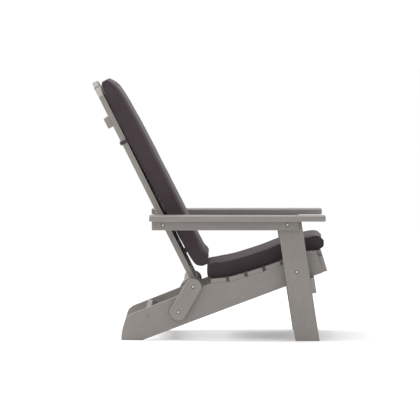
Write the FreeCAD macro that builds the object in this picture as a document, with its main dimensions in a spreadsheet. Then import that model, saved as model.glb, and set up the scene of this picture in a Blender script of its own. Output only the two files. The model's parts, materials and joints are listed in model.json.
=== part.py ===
# Folding garden chair of the Adirondack kind, with a seat cushion and a back cushion.
# Right-handed frame, millimetres: +X is the way the sitter faces, +Y is the sitter's left and +Z is up.
# The origin is the middle of the floor under the chair. Every side board lies in a plane of constant Y,
# so it is drawn once in X and Z and used on both sides.

import FreeCAD, Part
import Sketcher
import math
import os

doc = FreeCAD.newDocument("adirondack_chair")
sheet = doc.addObject("Spreadsheet::Sheet", "Sizes")

SIZES = {
    # boards
    "board": 20,                  # thickness of rails, links, legs, arm rails and armrests
    "slat_board": 15,             # thickness of the seat slats, the apron and the leg brace
    "back_board": 20,             # thickness of the back slats and their bars
    "joint_gap": 1,               # washer thickness between boards that turn past each other
    "fit_gap": 0.3,               # gap left where a loose part rests against another
    # widths across the chair, measured from the middle
    "seat_half": 266,             # outer face of the side rails, and the ends of the slats
    "back_half": 224,             # outer edges of the back
    "armrest_outer": 367.5,
    "armrest_width": 120,
    "cushion_half": 222,
    # side rails
    "rail_slope": 20.6,           # degrees, the rail's straight lower edge above the floor
    "rail_toe": -273,             # X where that edge leaves the floor
    "rail_heel": -349,            # X of the rear foot's back edge
    "rail_end_height": 94.7,      # Z of the top corner at the rear
    "rail_end": -314.7,           # X of that corner
    "rail_over_a": 59.5,          # how far the rail's top edge passes above pivot A
    "rail_front": 398.8,          # X of the lower front corner, apron included
    "front_lean": 17.5,           # degrees, the apron's lean back from upright
    # seat slats
    "slat_width": 56,
    "slat_gap": 13,
    "seat_start": -23,            # X and Z of the first slat's lower rear edge
    "seat_start_height": 207,
    "apron_height": 80,
    "apron_tongue": 22,           # the apron's top part, which stands between the rails
    "stretcher_x": -259,
    "stretcher_thick": 18,
    "stretcher_height": 60,
    # pivots, X and Z
    "pivot_a_x": -142, "pivot_a_z": 103,      # link to rail
    "pivot_b_x": -88.3, "pivot_b_z": 194.5,   # link to back
    "pivot_c_x": -196.6, "pivot_c_z": 420,    # arm to back
    "pivot_d_x": 253.3, "pivot_d_z": 421.5,   # arm to leg
    "pivot_e_x": 287, "pivot_e_z": 250.3,     # leg to rail
    "link_width": 60,
    # front legs
    "leg_width": 87,
    "leg_lean": 8.7,              # degrees, top rearward
    "leg_foot": 282.2,            # X of the foot's rear corner
    "leg_brace_height": 57,
    "leg_corner": 13.2,           # the leg's top stays within this radius of pivot D
    "arm_swing": 49,              # degrees the leg can turn before it meets the armrest
    # arms
    "armrest_rear": -246.8,
    "armrest_front": 390.6,
    "armrest_under": 435,         # Z of the armrest's lower face
    "armrest_corner": 10,
    "arm_rail_rear": -237.6,
    "arm_rail_front": 294,
    "arm_rail_depth": 33,
    "arm_bevel": 14,              # length of the arm rail's bevelled front end
    "arm_bevel_turn": 25,         # degrees of that bevel
    # back
    "back_lean": 26.55,           # degrees from upright
    "back_slats": 5,
    "back_slat_gap": 12,
    "back_top": 824,              # from pivot B along the slats to the middle of the arched top
    "back_arch": 55.5,            # how much lower the arch is at the back's edges
    "back_tail": 20,              # slat length below pivot B
    "back_hollow": 4.5,           # how far the middle slat sits behind the outer ones
    "crossbar_drop": 175,         # the crossbar's lower edge below the middle of the arched top
    "crossbar_height": 40,
    "middle_brace_from": 243, "middle_brace_height": 28, "middle_brace_depth": 24,
    "lower_brace_from": -7, "lower_brace_top": 34, "lower_brace_depth": 28,
    "lower_round": 14,            # radius of the lower brace's upper rear edge
    "lower_ear_radius": 10.8,     # the lower brace round pivot B
    "ear_length": 35,
    "middle_ear_radius": 13,      # the middle brace round pivot C
    # cushions
    "seat_cushion_thick": 56,
    "seat_cushion_end": -29,      # X of its rear end
    "strap_width": 13, "strap_thick": 1.5, "strap_at": 574,
    # hardware
    "bolt_radius": 3, "hole_play": 0.05,
    "head_radius": 5, "head_height": 3.5,
    "bore_radius": 6.5, "bore_depth": 4,
    "washer_radius": 9, "spacer_radius": 20,
    "nut_radius": 6, "nut_height": 6,
    "insert_radius": 6, "insert_length": 16,
    "screw_radius": 2, "screw_head_radius": 4, "screw_head_height": 2,
}
for row, (name, value) in enumerate(SIZES.items(), start=1):
    sheet.set("A%d" % row, name.replace("_", " "))
    sheet.set("B%d" % row, str(value))
    sheet.setAlias("B%d" % row, name)
doc.recompute()


def size(name):
    return float(getattr(sheet, name))


nodes = []


def keep(obj, label):
    """Names a finished sub-part, so that it is checked and written at the end."""
    obj.Label = label
    nodes.append(obj)
    return obj


# ---------------------------------------------------------------- building helpers

def bind(obj, **cells):
    for prop, cell in cells.items():
        obj.setExpression(prop.replace("__", "."), cell)
    return obj


def plate(name, corners, thickness, outer, side, holes=()):
    """A board in a plane of constant Y, padded from its outline.

    corners are (x, z), thickness and outer are sheet expressions, and outer is the distance of the
    board's outer face from the middle. holes are (x, z, sheet expression of the radius).
    """
    body = doc.addObject("PartDesign::Body", name)
    sketch = body.newObject("Sketcher::SketchObject", name + "_outline")
    plane = [f for f in body.Origin.OriginFeatures if f.Role == "XZ_Plane"][0]
    sketch.AttachmentSupport = [(plane, "")]
    sketch.MapMode = "FlatFace"
    count = len(corners)
    for i, (x, z) in enumerate(corners):
        nx, nz = corners[(i + 1) % count]
        sketch.addGeometry(Part.LineSegment(FreeCAD.Vector(x, z, 0), FreeCAD.Vector(nx, nz, 0)))
    for i in range(count):
        sketch.addConstraint(Sketcher.Constraint("Coincident", i, 2, (i + 1) % count, 1))
    for i, (x, z) in enumerate(corners):
        sketch.addConstraint(Sketcher.Constraint("DistanceX", -1, 1, i, 1, x))
        sketch.addConstraint(Sketcher.Constraint("DistanceY", -1, 1, i, 1, z))
    for x, z, radius in holes:
        ring = sketch.addGeometry(Part.Circle(FreeCAD.Vector(x, z, 0), FreeCAD.Vector(0, 0, 1), 1))
        sketch.addConstraint(Sketcher.Constraint("DistanceX", -1, 1, ring, 3, x))
        sketch.addConstraint(Sketcher.Constraint("DistanceY", -1, 1, ring, 3, z))
        bore = sketch.addConstraint(Sketcher.Constraint("Radius", ring, 3.0))
        sketch.setExpression("Constraints[%d]" % bore, radius)
    pad = body.newObject("PartDesign::Pad", name + "_pad")
    pad.Profile = sketch
    pad.setExpression("Length", thickness)
    sketch.Visibility = False
    # the sketch's normal is -Y, so the pad grows towards the sitter's right
    front = outer if side > 0 else "-(%s) + (%s)" % (outer, thickness)
    body.setExpression("Placement.Base.y", front)
    return body


def box(name, corner, length, width, height, turn=0.0, pivot=None):
    """A box whose low corner is a point (x, y, z); turn is degrees about +Y at that corner or pivot."""
    obj = doc.addObject("Part::Box", name)
    bind(obj, Length=length, Width=width, Height=height)
    place = FreeCAD.Placement(FreeCAD.Vector(*corner), FreeCAD.Rotation())
    if turn:
        centre = FreeCAD.Vector(*(pivot or corner))
        place = FreeCAD.Placement(
            FreeCAD.Vector(), FreeCAD.Rotation(FreeCAD.Vector(0, 1, 0), turn), centre).multiply(place)
    obj.Placement = place
    return obj


def rod(name, x, z, y_from, length, radius):
    """A cylinder along +Y. length and radius are sheet expressions."""
    obj = doc.addObject("Part::Cylinder", name)
    bind(obj, Radius=radius, Height=length)
    obj.Placement = FreeCAD.Placement(
        FreeCAD.Vector(x, y_from, z), FreeCAD.Rotation(FreeCAD.Vector(1, 0, 0), -90))
    return obj


def fuse(name, parts):
    obj = doc.addObject("Part::MultiFuse", name)
    obj.Shapes = parts
    obj.Refine = True
    return obj


def cut(name, base, tool):
    obj = doc.addObject("Part::Cut", name)
    obj.Base = base
    obj.Tool = tool
    obj.Refine = True
    return obj


def group(label, parts):
    """Several separate solids that share one node."""
    obj = doc.addObject("Part::Compound", label)
    obj.Links = parts
    return keep(obj, label)


SIDES = (("right", -1), ("left", 1))


def outward(side, inner, outer):
    """The low Y of something that spans inner to outer from the middle, on one side."""
    return inner if side > 0 else -outer


# ---------------------------------------------------------------- planes across the chair

board = size("board")
gap = size("joint_gap")
rail_outer = size("seat_half")
link_inner = rail_outer + gap
link_outer = link_inner + board
leg_inner = link_outer + gap
leg_outer = leg_inner + board
arm_inner = leg_outer + gap
arm_outer = arm_inner + board

RAIL_OUTER = "Sizes.seat_half"
LINK_OUTER = "Sizes.seat_half + Sizes.joint_gap + Sizes.board"
LEG_OUTER = "Sizes.seat_half + 2 * Sizes.joint_gap + 2 * Sizes.board"
ARM_OUTER = "Sizes.seat_half + 3 * Sizes.joint_gap + 3 * Sizes.board"
BOLT_HOLE = "Sizes.bolt_radius + Sizes.hole_play"

A = (size("pivot_a_x"), size("pivot_a_z"))
B = (size("pivot_b_x"), size("pivot_b_z"))
C = (size("pivot_c_x"), size("pivot_c_z"))
D = (size("pivot_d_x"), size("pivot_d_z"))
E = (size("pivot_e_x"), size("pivot_e_z"))

# ---------------------------------------------------------------- seat: where the slats lie

SLAT_ANGLES = (5.0, 15.5, 17.5, 19.5, 27.0, 4.0)   # rise of each slat towards the front, degrees


def along(point, angle, distance):
    a = math.radians(angle)
    return (point[0] + distance * math.cos(a), point[1] + distance * math.sin(a))


def seat_line():
    """The lower rear and front edge of each slat, which is also the scooped top of the rails."""
    spans = []
    here = (size("seat_start"), size("seat_start_height"))
    for i, angle in enumerate(SLAT_ANGLES):
        if i:
            here = along(here, (angle + SLAT_ANGLES[i - 1]) / 2, size("slat_gap"))
        end = along(here, angle, size("slat_width"))
        spans.append((here, end))
        here = end
    return spans


slats = seat_line()
slope = math.tan(math.radians(size("rail_slope")))


def rail_under(x):
    return (x - size("rail_toe")) * slope


# ---------------------------------------------------------------- side rails

lean = math.radians(size("front_lean"))
front_low = (size("rail_front"), rail_under(size("rail_front")))
apron_back = (front_low[0] - size("slat_board") * math.cos(lean),
              front_low[1] - size("slat_board") * math.sin(lean))
rail_nose_low = (apron_back[0], rail_under(apron_back[0]))
last = slats[-1][1]
rail_nose_top = (apron_back[0] - (last[1] - apron_back[1]) * math.tan(lean), last[1])

rail_outline = [
    (size("rail_toe"), 0),
    rail_nose_low,
    rail_nose_top,
]
for rear, front in reversed(slats):
    rail_outline += [front, rear]
rail_outline += [
    (A[0], A[1] + size("rail_over_a")),
    (size("rail_end"), size("rail_end_height")),
]
# The rear foot's rounded back edge: behind the rail's end corner, then down to the floor.
HEEL_CURVE = ((11.5, 68), (4.3, 44.5), (0, 18), (0, 0))     # in front of the heel, and Z
rail_outline.append((size("rail_end") - 17, size("rail_end_height") - 12.5))
rail_outline += [(size("rail_heel") + ahead, height) for ahead, height in HEEL_CURVE]
for word, side in SIDES:
    rail = plate("side_rail_" + word, rail_outline, "Sizes.board", RAIL_OUTER, side,
                 [(A[0], A[1], BOLT_HOLE), (E[0], E[1], BOLT_HOLE)])
    keep(rail, "side_rail_" + word)

# ---------------------------------------------------------------- seat slats, apron and stretcher

for i, (rear, front) in enumerate(slats, start=1):
    slat = box("seat_slat_%d" % i, (rear[0], -rail_outer, rear[1]),
               "Sizes.slat_width", "2 * Sizes.seat_half", "Sizes.slat_board", -SLAT_ANGLES[i - 1])
    keep(slat, "seat_slat_%d" % i)

# The apron is square to its own lean. Its tongue is narrower, and closes the seat's front edge.
rail_inner = rail_outer - board
apron_low = box("apron_face", (front_low[0] - size("slat_board"), -rail_outer, front_low[1]),
                "Sizes.slat_board", "2 * Sizes.seat_half", "Sizes.apron_height - Sizes.apron_tongue",
                -size("front_lean"), (front_low[0], 0, front_low[1]))
apron_top = box("apron_tongue",
                (front_low[0] - size("slat_board"), -rail_inner, front_low[1]),
                "Sizes.slat_board", "2 * (Sizes.seat_half - Sizes.board)", "Sizes.apron_height",
                -size("front_lean"), (front_low[0], 0, front_low[1]))
keep(fuse("front_apron", [apron_low, apron_top]), "front_apron")

rail_top_slope = (A[1] + size("rail_over_a") - size("rail_end_height")) / (A[0] - size("rail_end"))
stretcher_top = size("rail_end_height") + (size("stretcher_x") - size("rail_end")) * rail_top_slope
stretcher = box("rear_stretcher",
                (size("stretcher_x"), -rail_inner, stretcher_top - size("stretcher_height")),
                "Sizes.stretcher_thick", "2 * (Sizes.seat_half - Sizes.board)",
                "Sizes.stretcher_height")
keep(stretcher, "rear_stretcher")

# ---------------------------------------------------------------- link plates

rise = math.degrees(math.atan2(B[1] - A[1], B[0] - A[0]))
reach = math.hypot(B[0] - A[0], B[1] - A[1])
for word, side in SIDES:
    low = outward(side, link_inner, link_outer)
    half = size("link_width") / 2
    strip = doc.addObject("Part::Box", "link_strip_" + word)
    bind(strip, Width="Sizes.board", Height="Sizes.link_width")
    strip.Length = reach
    strip.Placement = FreeCAD.Placement(
        FreeCAD.Vector(A[0], 0, A[1]), FreeCAD.Rotation(FreeCAD.Vector(0, 1, 0), -rise)).multiply(
        FreeCAD.Placement(FreeCAD.Vector(0, low, -half), FreeCAD.Rotation()))
    ends = [rod("link_end_%s_%s" % (word, n), p[0], p[1], low, "Sizes.board", "Sizes.link_width / 2")
            for n, p in (("low", A), ("high", B))]
    blank = fuse("link_blank_" + word, [strip] + ends)
    face = outward(side, link_outer - size("bore_depth"), link_outer)
    bores = []
    for n, p in (("low", A), ("high", B)):
        bores.append(rod("link_hole_%s_%s" % (word, n), p[0], p[1], low - 1, "Sizes.board + 2", BOLT_HOLE))
        bores.append(rod("link_bore_%s_%s" % (word, n), p[0], p[1], face,
                         "Sizes.bore_depth", "Sizes.bore_radius"))
    keep(cut("link_plate_" + word, blank, fuse("link_bores_" + word, bores)), "link_plate_" + word)

# ---------------------------------------------------------------- front legs

leg_lean = math.radians(size("leg_lean"))
leg_foot_front = size("leg_foot") + size("leg_width") / math.cos(leg_lean)
leg_top = D[1] + size("leg_corner")


def leg_edge(foot, z):
    return (foot - z * math.tan(leg_lean), z)


# The rear of the leg's top is cut away on the line that meets the armrest when the leg has swung.
swing = math.radians(size("arm_swing"))
meet = (size("leg_corner") + (size("leg_foot") - D[0]) * math.sin(swing) + D[1] * math.cos(swing)) / (
    math.tan(leg_lean) * math.sin(swing) + math.cos(swing))
leg_outline = [
    (size("leg_foot"), 0),
    (leg_foot_front, 0),
    leg_edge(leg_foot_front, leg_top),
]
for step in range(5):
    turn = math.radians(90) + swing * step / 4
    leg_outline.append((D[0] + size("leg_corner") * math.cos(turn),
                        D[1] + size("leg_corner") * math.sin(turn)))
leg_outline.append(leg_edge(size("leg_foot"), meet))
for word, side in SIDES:
    low = outward(side, leg_inner, leg_outer)
    leg = plate("leg_board_" + word, leg_outline, "Sizes.board", LEG_OUTER, side,
                [(E[0], E[1], BOLT_HOLE)])
    face = outward(side, leg_outer - size("bore_depth"), leg_outer)
    seat = outward(side, leg_outer - size("insert_length"), leg_outer)
    bores = fuse("leg_bores_" + word, [
        rod("leg_bore_" + word, E[0], E[1], face, "Sizes.bore_depth", "Sizes.bore_radius"),
        rod("leg_socket_" + word, D[0], D[1], seat, "Sizes.insert_length",
            "Sizes.insert_radius + Sizes.hole_play")])
    keep(cut("front_leg_" + word, leg, bores), "front_leg_" + word)

# The brace is square to the legs' front edges, and the rails rest on it when the chair is open.
brace_stop = ((leg_foot_front - size("rail_toe")) * slope - size("fit_gap")) / (
    math.cos(leg_lean) + math.sin(leg_lean) * slope)
brace_low = brace_stop - size("leg_brace_height")
leg_brace = doc.addObject("Part::Box", "leg_brace")
bind(leg_brace, Length="Sizes.slat_board", Width="2 * (%s)" % LEG_OUTER, Height="Sizes.leg_brace_height")
leg_frame = FreeCAD.Placement(FreeCAD.Vector(leg_foot_front, 0, 0),
                              FreeCAD.Rotation(FreeCAD.Vector(0, 1, 0), -size("leg_lean")))
leg_brace.Placement = leg_frame.multiply(
    FreeCAD.Placement(FreeCAD.Vector(0, -leg_outer, brace_low), FreeCAD.Rotation()))
keep(leg_brace, "leg_brace")

# ---------------------------------------------------------------- arms

for word, side in SIDES:
    low = outward(side, arm_inner, arm_outer)
    bar = box("arm_bar_" + word,
              (size("arm_rail_rear"), low, size("armrest_under") - size("arm_rail_depth")),
              "Sizes.arm_rail_front - Sizes.arm_rail_rear", "Sizes.board", "Sizes.arm_rail_depth")
    face = outward(side, arm_outer - size("bore_depth"), arm_outer)
    bores = []
    for n, p in (("rear", C), ("front", D)):
        bores.append(rod("arm_hole_%s_%s" % (word, n), p[0], p[1], low - 1, "Sizes.board + 2", BOLT_HOLE))
        bores.append(rod("arm_bore_%s_%s" % (word, n), p[0], p[1], face,
                         "Sizes.bore_depth", "Sizes.bore_radius"))
    bevel = doc.addObject("Part::Box", "arm_bevel_" + word)
    bevel.Length = 2 * board
    bevel.Width = board
    bevel.Height = size("arm_rail_depth") + 2
    corner = FreeCAD.Vector(size("arm_rail_front") - size("arm_bevel"), side * arm_outer,
                            size("armrest_under"))
    if side > 0:
        turned = FreeCAD.Placement(
            corner, FreeCAD.Rotation(FreeCAD.Vector(0, 0, 1), -size("arm_bevel_turn")))
        shift = FreeCAD.Vector(0, 0, -size("arm_rail_depth") - 1)
    else:
        turned = FreeCAD.Placement(
            corner, FreeCAD.Rotation(FreeCAD.Vector(0, 0, 1), size("arm_bevel_turn")))
        shift = FreeCAD.Vector(0, -board, -size("arm_rail_depth") - 1)
    bevel.Placement = turned.multiply(FreeCAD.Placement(shift, FreeCAD.Rotation()))
    rail = cut("arm_rail_" + word, bar, fuse("arm_cuts_" + word, bores + [bevel]))
    keep(rail, "arm_rail_" + word)

    near = size("armrest_outer") - size("armrest_width")
    rest = box("armrest_board_" + word,
               (size("armrest_rear"), outward(side, near, size("armrest_outer")), size("armrest_under")),
               "Sizes.armrest_front - Sizes.armrest_rear", "Sizes.armrest_width", "Sizes.board")
    doc.recompute()
    rounded = doc.addObject("Part::Fillet", "armrest_" + word)
    rounded.Base = rest
    corners = []
    for n, edge in enumerate(rest.Shape.Edges, start=1):
        ends = [v.Point for v in edge.Vertexes]
        if abs(ends[0].z - ends[1].z) > 1 and ends[0].x > 0:
            corners.append((n, size("armrest_corner"), size("armrest_corner")))
    rounded.Edges = corners
    keep(rounded, "armrest_" + word)

# ---------------------------------------------------------------- back

back_lean = math.radians(size("back_lean"))
back_frame = FreeCAD.Placement(FreeCAD.Vector(B[0], 0, B[1]),
                               FreeCAD.Rotation(FreeCAD.Vector(0, 1, 0), -size("back_lean")))


def back_point(up, behind):
    """X and Z of a point that is given along the back from pivot B and behind the outer slats."""
    return (B[0] - up * math.sin(back_lean) - behind * math.cos(back_lean),
            B[1] + up * math.cos(back_lean) - behind * math.sin(back_lean))


def back_box(name, up, behind, y_from, thick, wide, tall):
    """A box in the back's own frame. behind is its rear face; thick, wide and tall are expressions."""
    obj = doc.addObject("Part::Box", name)
    bind(obj, Length=thick, Width=wide, Height=tall)
    obj.Placement = back_frame.multiply(
        FreeCAD.Placement(FreeCAD.Vector(-behind, y_from, up), FreeCAD.Rotation()))
    return obj


arch_half = size("back_half")
arch_radius = (arch_half ** 2 + size("back_arch") ** 2) / (2 * size("back_arch"))
count = int(size("back_slats"))
pitch = (2 * size("back_half") + size("back_slat_gap")) / count
slat_wide = pitch - size("back_slat_gap")


def slat_set_back(middle):
    return size("back_hollow") * (1 - (middle / (size("back_half") - slat_wide / 2)) ** 2)


back_slats = []
slat_middles = [-size("back_half") + slat_wide / 2 + pitch * i for i in range(count)]
for i, middle in enumerate(slat_middles, start=1):
    blank = back_box("back_board_%d" % i, -size("back_tail"), slat_set_back(middle),
                     middle - slat_wide / 2, "Sizes.back_board",
                     "(2 * Sizes.back_half + Sizes.back_slat_gap) / Sizes.back_slats - Sizes.back_slat_gap",
                     "Sizes.back_top + Sizes.back_tail")
    disc = doc.addObject("Part::Cylinder", "back_arch_%d" % i)
    disc.Radius = arch_radius
    disc.Height = 4 * size("back_board")
    disc.Placement = back_frame.multiply(FreeCAD.Placement(
        FreeCAD.Vector(-2 * size("back_board"), 0, size("back_top") - arch_radius),
        FreeCAD.Rotation(FreeCAD.Vector(0, 1, 0), 90)))
    slat = doc.addObject("Part::Common", "back_slat_%d" % i)
    slat.Base = blank
    slat.Tool = disc
    back_slats.append(keep(slat, "back_slat_%d" % i))

housing = fuse("back_housings", [
    back_box("back_housing_%d" % i, -size("back_tail"), slat_set_back(middle), middle - slat_wide / 2,
             "Sizes.back_board", "%f" % slat_wide, "Sizes.back_top + Sizes.back_tail")
    for i, middle in enumerate(slat_middles, start=1)])

crossbar_from = size("back_top") - size("crossbar_drop")
crossbar = back_box("top_crossbar_blank", crossbar_from, size("back_board"), -size("back_half"),
                    "Sizes.back_board", "2 * Sizes.back_half", "Sizes.crossbar_height")
keep(cut("top_crossbar", crossbar, housing), "top_crossbar")

# The middle brace ends in round tenons on pivot C, thin enough to turn under the armrests.
middle_half = size("armrest_outer") - size("armrest_width") - 2
tenon_end = arm_inner - gap
beam = back_box("middle_beam", size("middle_brace_from"), size("middle_brace_depth"), -middle_half,
                "Sizes.middle_brace_depth", "2 * %f" % middle_half, "Sizes.middle_brace_height")
tenon_from = size("back_half") + 2
tenons = [rod("middle_tenon_" + word, C[0], C[1], outward(side, tenon_from, tenon_end),
              "%f" % (tenon_end - tenon_from), "Sizes.middle_ear_radius") for word, side in SIDES]
tenon_bores = []
insert_from = tenon_end - 2 * size("insert_length")
for word, side in SIDES:
    tenon_bores.append(rod("tenon_hole_" + word, C[0], C[1], outward(side, insert_from, tenon_end + 1),
                           "%f" % (tenon_end + 1 - insert_from), BOLT_HOLE))
    tenon_bores.append(rod("tenon_socket_" + word, C[0], C[1],
                           outward(side, insert_from, insert_from + size("insert_length")),
                           "Sizes.insert_length", "Sizes.insert_radius + Sizes.hole_play"))
middle = fuse("middle_blank", [beam] + tenons)
keep(cut("middle_brace", middle, fuse("middle_cuts", [housing] + tenon_bores)), "middle_brace")

# The lower brace reaches between the links, and sits on the rails when the chair is open.
brace_end = rail_outer
ear_inner = brace_end - size("ear_length")
square = back_box("lower_square", size("lower_brace_from"), size("lower_brace_depth"), -brace_end,
                  "Sizes.lower_brace_depth", "2 * Sizes.seat_half",
                  "Sizes.lower_brace_top - Sizes.lower_brace_from")
doc.recompute()
beam = doc.addObject("Part::Fillet", "lower_beam")
beam.Base = square
upper_rear = back_point(size("lower_brace_top"), size("lower_brace_depth"))
beam.Edges = [(n, size("lower_round"), size("lower_round"))
              for n, edge in enumerate(square.Shape.Edges, start=1)
              if all(math.hypot(v.X - upper_rear[0], v.Z - upper_rear[1]) < 1 for v in edge.Vertexes)]
ears = []
brace_bores = []
for word, side in SIDES:
    low = outward(side, ear_inner, brace_end)
    ears.append(rod("lower_ear_" + word, B[0], B[1], low, "Sizes.ear_length", "Sizes.lower_ear_radius"))
    ears.append(back_box("lower_cheek_" + word, 0, 1, low, "Sizes.lower_ear_radius + 1",
                         "Sizes.ear_length", "Sizes.lower_brace_top"))
    brace_bores.append(rod("lower_hole_" + word, B[0], B[1], low - 1, "Sizes.ear_length + 2", BOLT_HOLE))
    recess = ear_inner - size("nut_height")
    brace_bores.append(rod("nut_recess_" + word, B[0], B[1], outward(side, recess, ear_inner),
                           "Sizes.nut_height", "Sizes.bore_radius"))
lower = fuse("lower_blank", [beam] + ears)
keep(cut("lower_brace", lower, fuse("lower_cuts", [housing] + brace_bores)), "lower_brace")

# ---------------------------------------------------------------- cushions


def cushion(label, outline):
    body = plate(label + "_pad", outline, "2 * Sizes.cushion_half", "Sizes.cushion_half", 1)
    return keep(body, label)


def slat_top(point, angle):
    return along(point, angle + 90, size("slat_board") + size("fit_gap"))


under = []
for (rear, front), angle in zip(slats, SLAT_ANGLES):
    under += [slat_top(rear, angle), slat_top(front, angle)]
under[0] = (size("seat_cushion_end"), under[0][1])
thick = size("seat_cushion_thick")
nose = under[-1]
seat_outline = list(under)
SEAT_NOSE = ((12, 5), (19, 12), (22, 23), (20, 37), (13, 50), (4, 55.5))   # round the front, from its foot
seat_outline += [(nose[0] + ahead, nose[1] + up) for ahead, up in SEAT_NOSE]
for (rear, front), angle in reversed(list(zip(slats, SLAT_ANGLES))[:-1]):
    seat_outline.append(along(along(rear, angle, size("slat_width") / 2), angle + 90,
                              size("slat_board") + thick))
seat_outline.append((size("seat_cushion_end"), under[0][1] + thick))
cushion("seat_cushion", seat_outline)

front_face = -size("back_board")
BACK_PROFILE = (      # up the back from pivot B, and in front of the outer slats' front face
    (60, 22), (42, 58), (79, 83), (311, 82), (495, 80), (626, 77), (733, 70),
    (785, 60), (808, 44), (808, 24), (795, 8), (665, 0.5), (540, 5.7), (353, 13.8), (210, 15.5),
)
cushion("back_cushion", [back_point(up, front_face - ahead) for up, ahead in BACK_PROFILE])

# The strap goes once round the back, just behind the cushion.
strap_half = size("back_half") + size("fit_gap")
strap_behind = size("back_hollow") + size("fit_gap")
strap_ahead = size("back_board") + size("fit_gap")
outer_loop = back_box("strap_outer", size("strap_at"), strap_behind + size("strap_thick"),
                      -strap_half - size("strap_thick"),
                      "%f" % (strap_behind + strap_ahead + 2 * size("strap_thick")),
                      "%f" % (2 * (strap_half + size("strap_thick"))), "Sizes.strap_width")
inner_loop = back_box("strap_inner", size("strap_at") - 1, strap_behind, -strap_half,
                      "%f" % (strap_behind + strap_ahead), "%f" % (2 * strap_half),
                      "Sizes.strap_width + 2")
keep(cut("back_strap", outer_loop, inner_loop), "back_strap")

# ---------------------------------------------------------------- pivot hardware


def ring(name, pivot, low, thickness, radius):
    """A washer, spacer, nut or insert: a short tube along Y round a bolt."""
    blank = rod(name + "_disc", pivot[0], pivot[1], low, "%f" % thickness, radius)
    hole = rod(name + "_eye", pivot[0], pivot[1], low - 1, "%f" % (thickness + 2), BOLT_HOLE)
    return cut(name, blank, hole)


def bolt(name, pivot, side, face, end):
    """A round-headed bolt: its head sits in a counterbore of the board whose outer face is face."""
    seat = face - size("bore_depth")
    head = rod(name + "_head", pivot[0], pivot[1], outward(side, seat, seat + size("head_height")),
               "Sizes.head_height", "Sizes.head_radius")
    shank = rod(name + "_shank", pivot[0], pivot[1], outward(side, end, seat + 1),
                "%f" % (seat + 1 - end), "Sizes.bolt_radius")
    return fuse(name, [head, shank])


def ring_on(name, pivot, side, inner, outer, radius):
    return ring(name, pivot, outward(side, inner, outer), outer - inner, radius)


nut = size("nut_height")
insert = size("insert_length")
WASHER = "Sizes.washer_radius"
NUT = "Sizes.nut_radius"
INSERT = "Sizes.insert_radius"
group("link_lower_bolts", [bolt("bolt_a_" + w, A, s, link_outer, rail_inner - nut) for w, s in SIDES])
group("link_lower_nuts", [ring_on("nut_a_" + w, A, s, rail_inner - nut, rail_inner, NUT) for w, s in SIDES])
group("link_lower_washers", [ring_on("washer_a_" + w, A, s, rail_outer, link_inner, WASHER)
                             for w, s in SIDES])
group("leg_bolts", [bolt("bolt_e_" + w, E, s, leg_outer, rail_inner - nut) for w, s in SIDES])
group("leg_nuts", [ring_on("nut_e_" + w, E, s, rail_inner - nut, rail_inner, NUT) for w, s in SIDES])
group("leg_spacers", [ring_on("spacer_e_" + w, E, s, rail_outer, leg_inner, "Sizes.spacer_radius")
                      for w, s in SIDES])
group("link_upper_bolts", [bolt("bolt_b_" + w, B, s, link_outer, ear_inner - nut) for w, s in SIDES])
group("link_upper_nuts", [ring_on("nut_b_" + w, B, s, ear_inner - nut, ear_inner, NUT) for w, s in SIDES])
group("link_upper_washers", [ring_on("washer_b_" + w, B, s, brace_end, link_inner, WASHER)
                             for w, s in SIDES])
group("arm_rear_bolts", [bolt("bolt_c_" + w, C, s, arm_outer, insert_from) for w, s in SIDES])
group("arm_rear_inserts", [ring_on("insert_c_" + w, C, s, insert_from, insert_from + insert, INSERT)
                           for w, s in SIDES])
group("arm_rear_washers", [ring_on("washer_c_" + w, C, s, tenon_end, arm_inner, WASHER)
                           for w, s in SIDES])
group("leg_top_inserts", [ring_on("insert_d_" + w, D, s, leg_outer - insert, leg_outer, INSERT)
                          for w, s in SIDES])
for w, s in SIDES:
    keep(bolt("arm_front_bolt_" + w, D, s, arm_outer, arm_inner), "arm_front_bolt_" + w)
    keep(ring_on("arm_front_washer_" + w, D, s, leg_outer, arm_inner, WASHER), "arm_front_washer_" + w)

# ---------------------------------------------------------------- screws


def along_axis(direction):
    return FreeCAD.Rotation(FreeCAD.Vector(0, 0, 1), FreeCAD.Vector(*direction))


def screw_shape(name, frame, at, direction, length, play):
    """A flat-headed screw that enters the wood at a point of frame, or the hole cut for it."""
    place = frame.multiply(FreeCAD.Placement(FreeCAD.Vector(*at), along_axis(direction)))
    spare = " + %s" % play if play else ""
    head = doc.addObject("Part::Cylinder", name + "_head")
    bind(head, Radius="Sizes.screw_head_radius" + spare, Height="Sizes.screw_head_height")
    head.Placement = place
    shank = doc.addObject("Part::Cylinder", name + "_shank")
    bind(shank, Radius="Sizes.screw_radius" + spare, Height="%f" % length + spare)
    shank.Placement = place
    return fuse(name, [head, shank])


def screws(label, places, length):
    """Makes one node of screws, and drills every board that a place names.

    Each place is (frame, point, direction, names of the boards it passes through).
    """
    made = []
    for n, (frame, at, direction, boards) in enumerate(places, start=1):
        made.append(screw_shape("%s_%d" % (label, n), frame, at, direction, length, ""))
        for name in boards:
            hole = screw_shape("hole_%s_%d_%s" % (label, n, name), frame, at, direction, length,
                               "Sizes.hole_play")
            drilled.setdefault(name, []).append(hole)
    group(label, made)


drilled = {}
floor_frame = FreeCAD.Placement()
mid_rail = rail_outer - board / 2
seat_places = []
for i, ((rear, front), angle) in enumerate(zip(slats, SLAT_ANGLES), start=1):
    frame = FreeCAD.Placement(FreeCAD.Vector(rear[0], 0, rear[1]),
                              FreeCAD.Rotation(FreeCAD.Vector(0, 1, 0), -angle))
    for word, side in SIDES:
        for part_way in (0.25, 0.75):
            seat_places.append((frame, (part_way * size("slat_width"), side * mid_rail, size("slat_board")),
                                (0, 0, -1), ["seat_slat_%d" % i, "side_rail_" + word]))
screws("seat_slat_screws", seat_places, size("slat_board") + 20)

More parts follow.
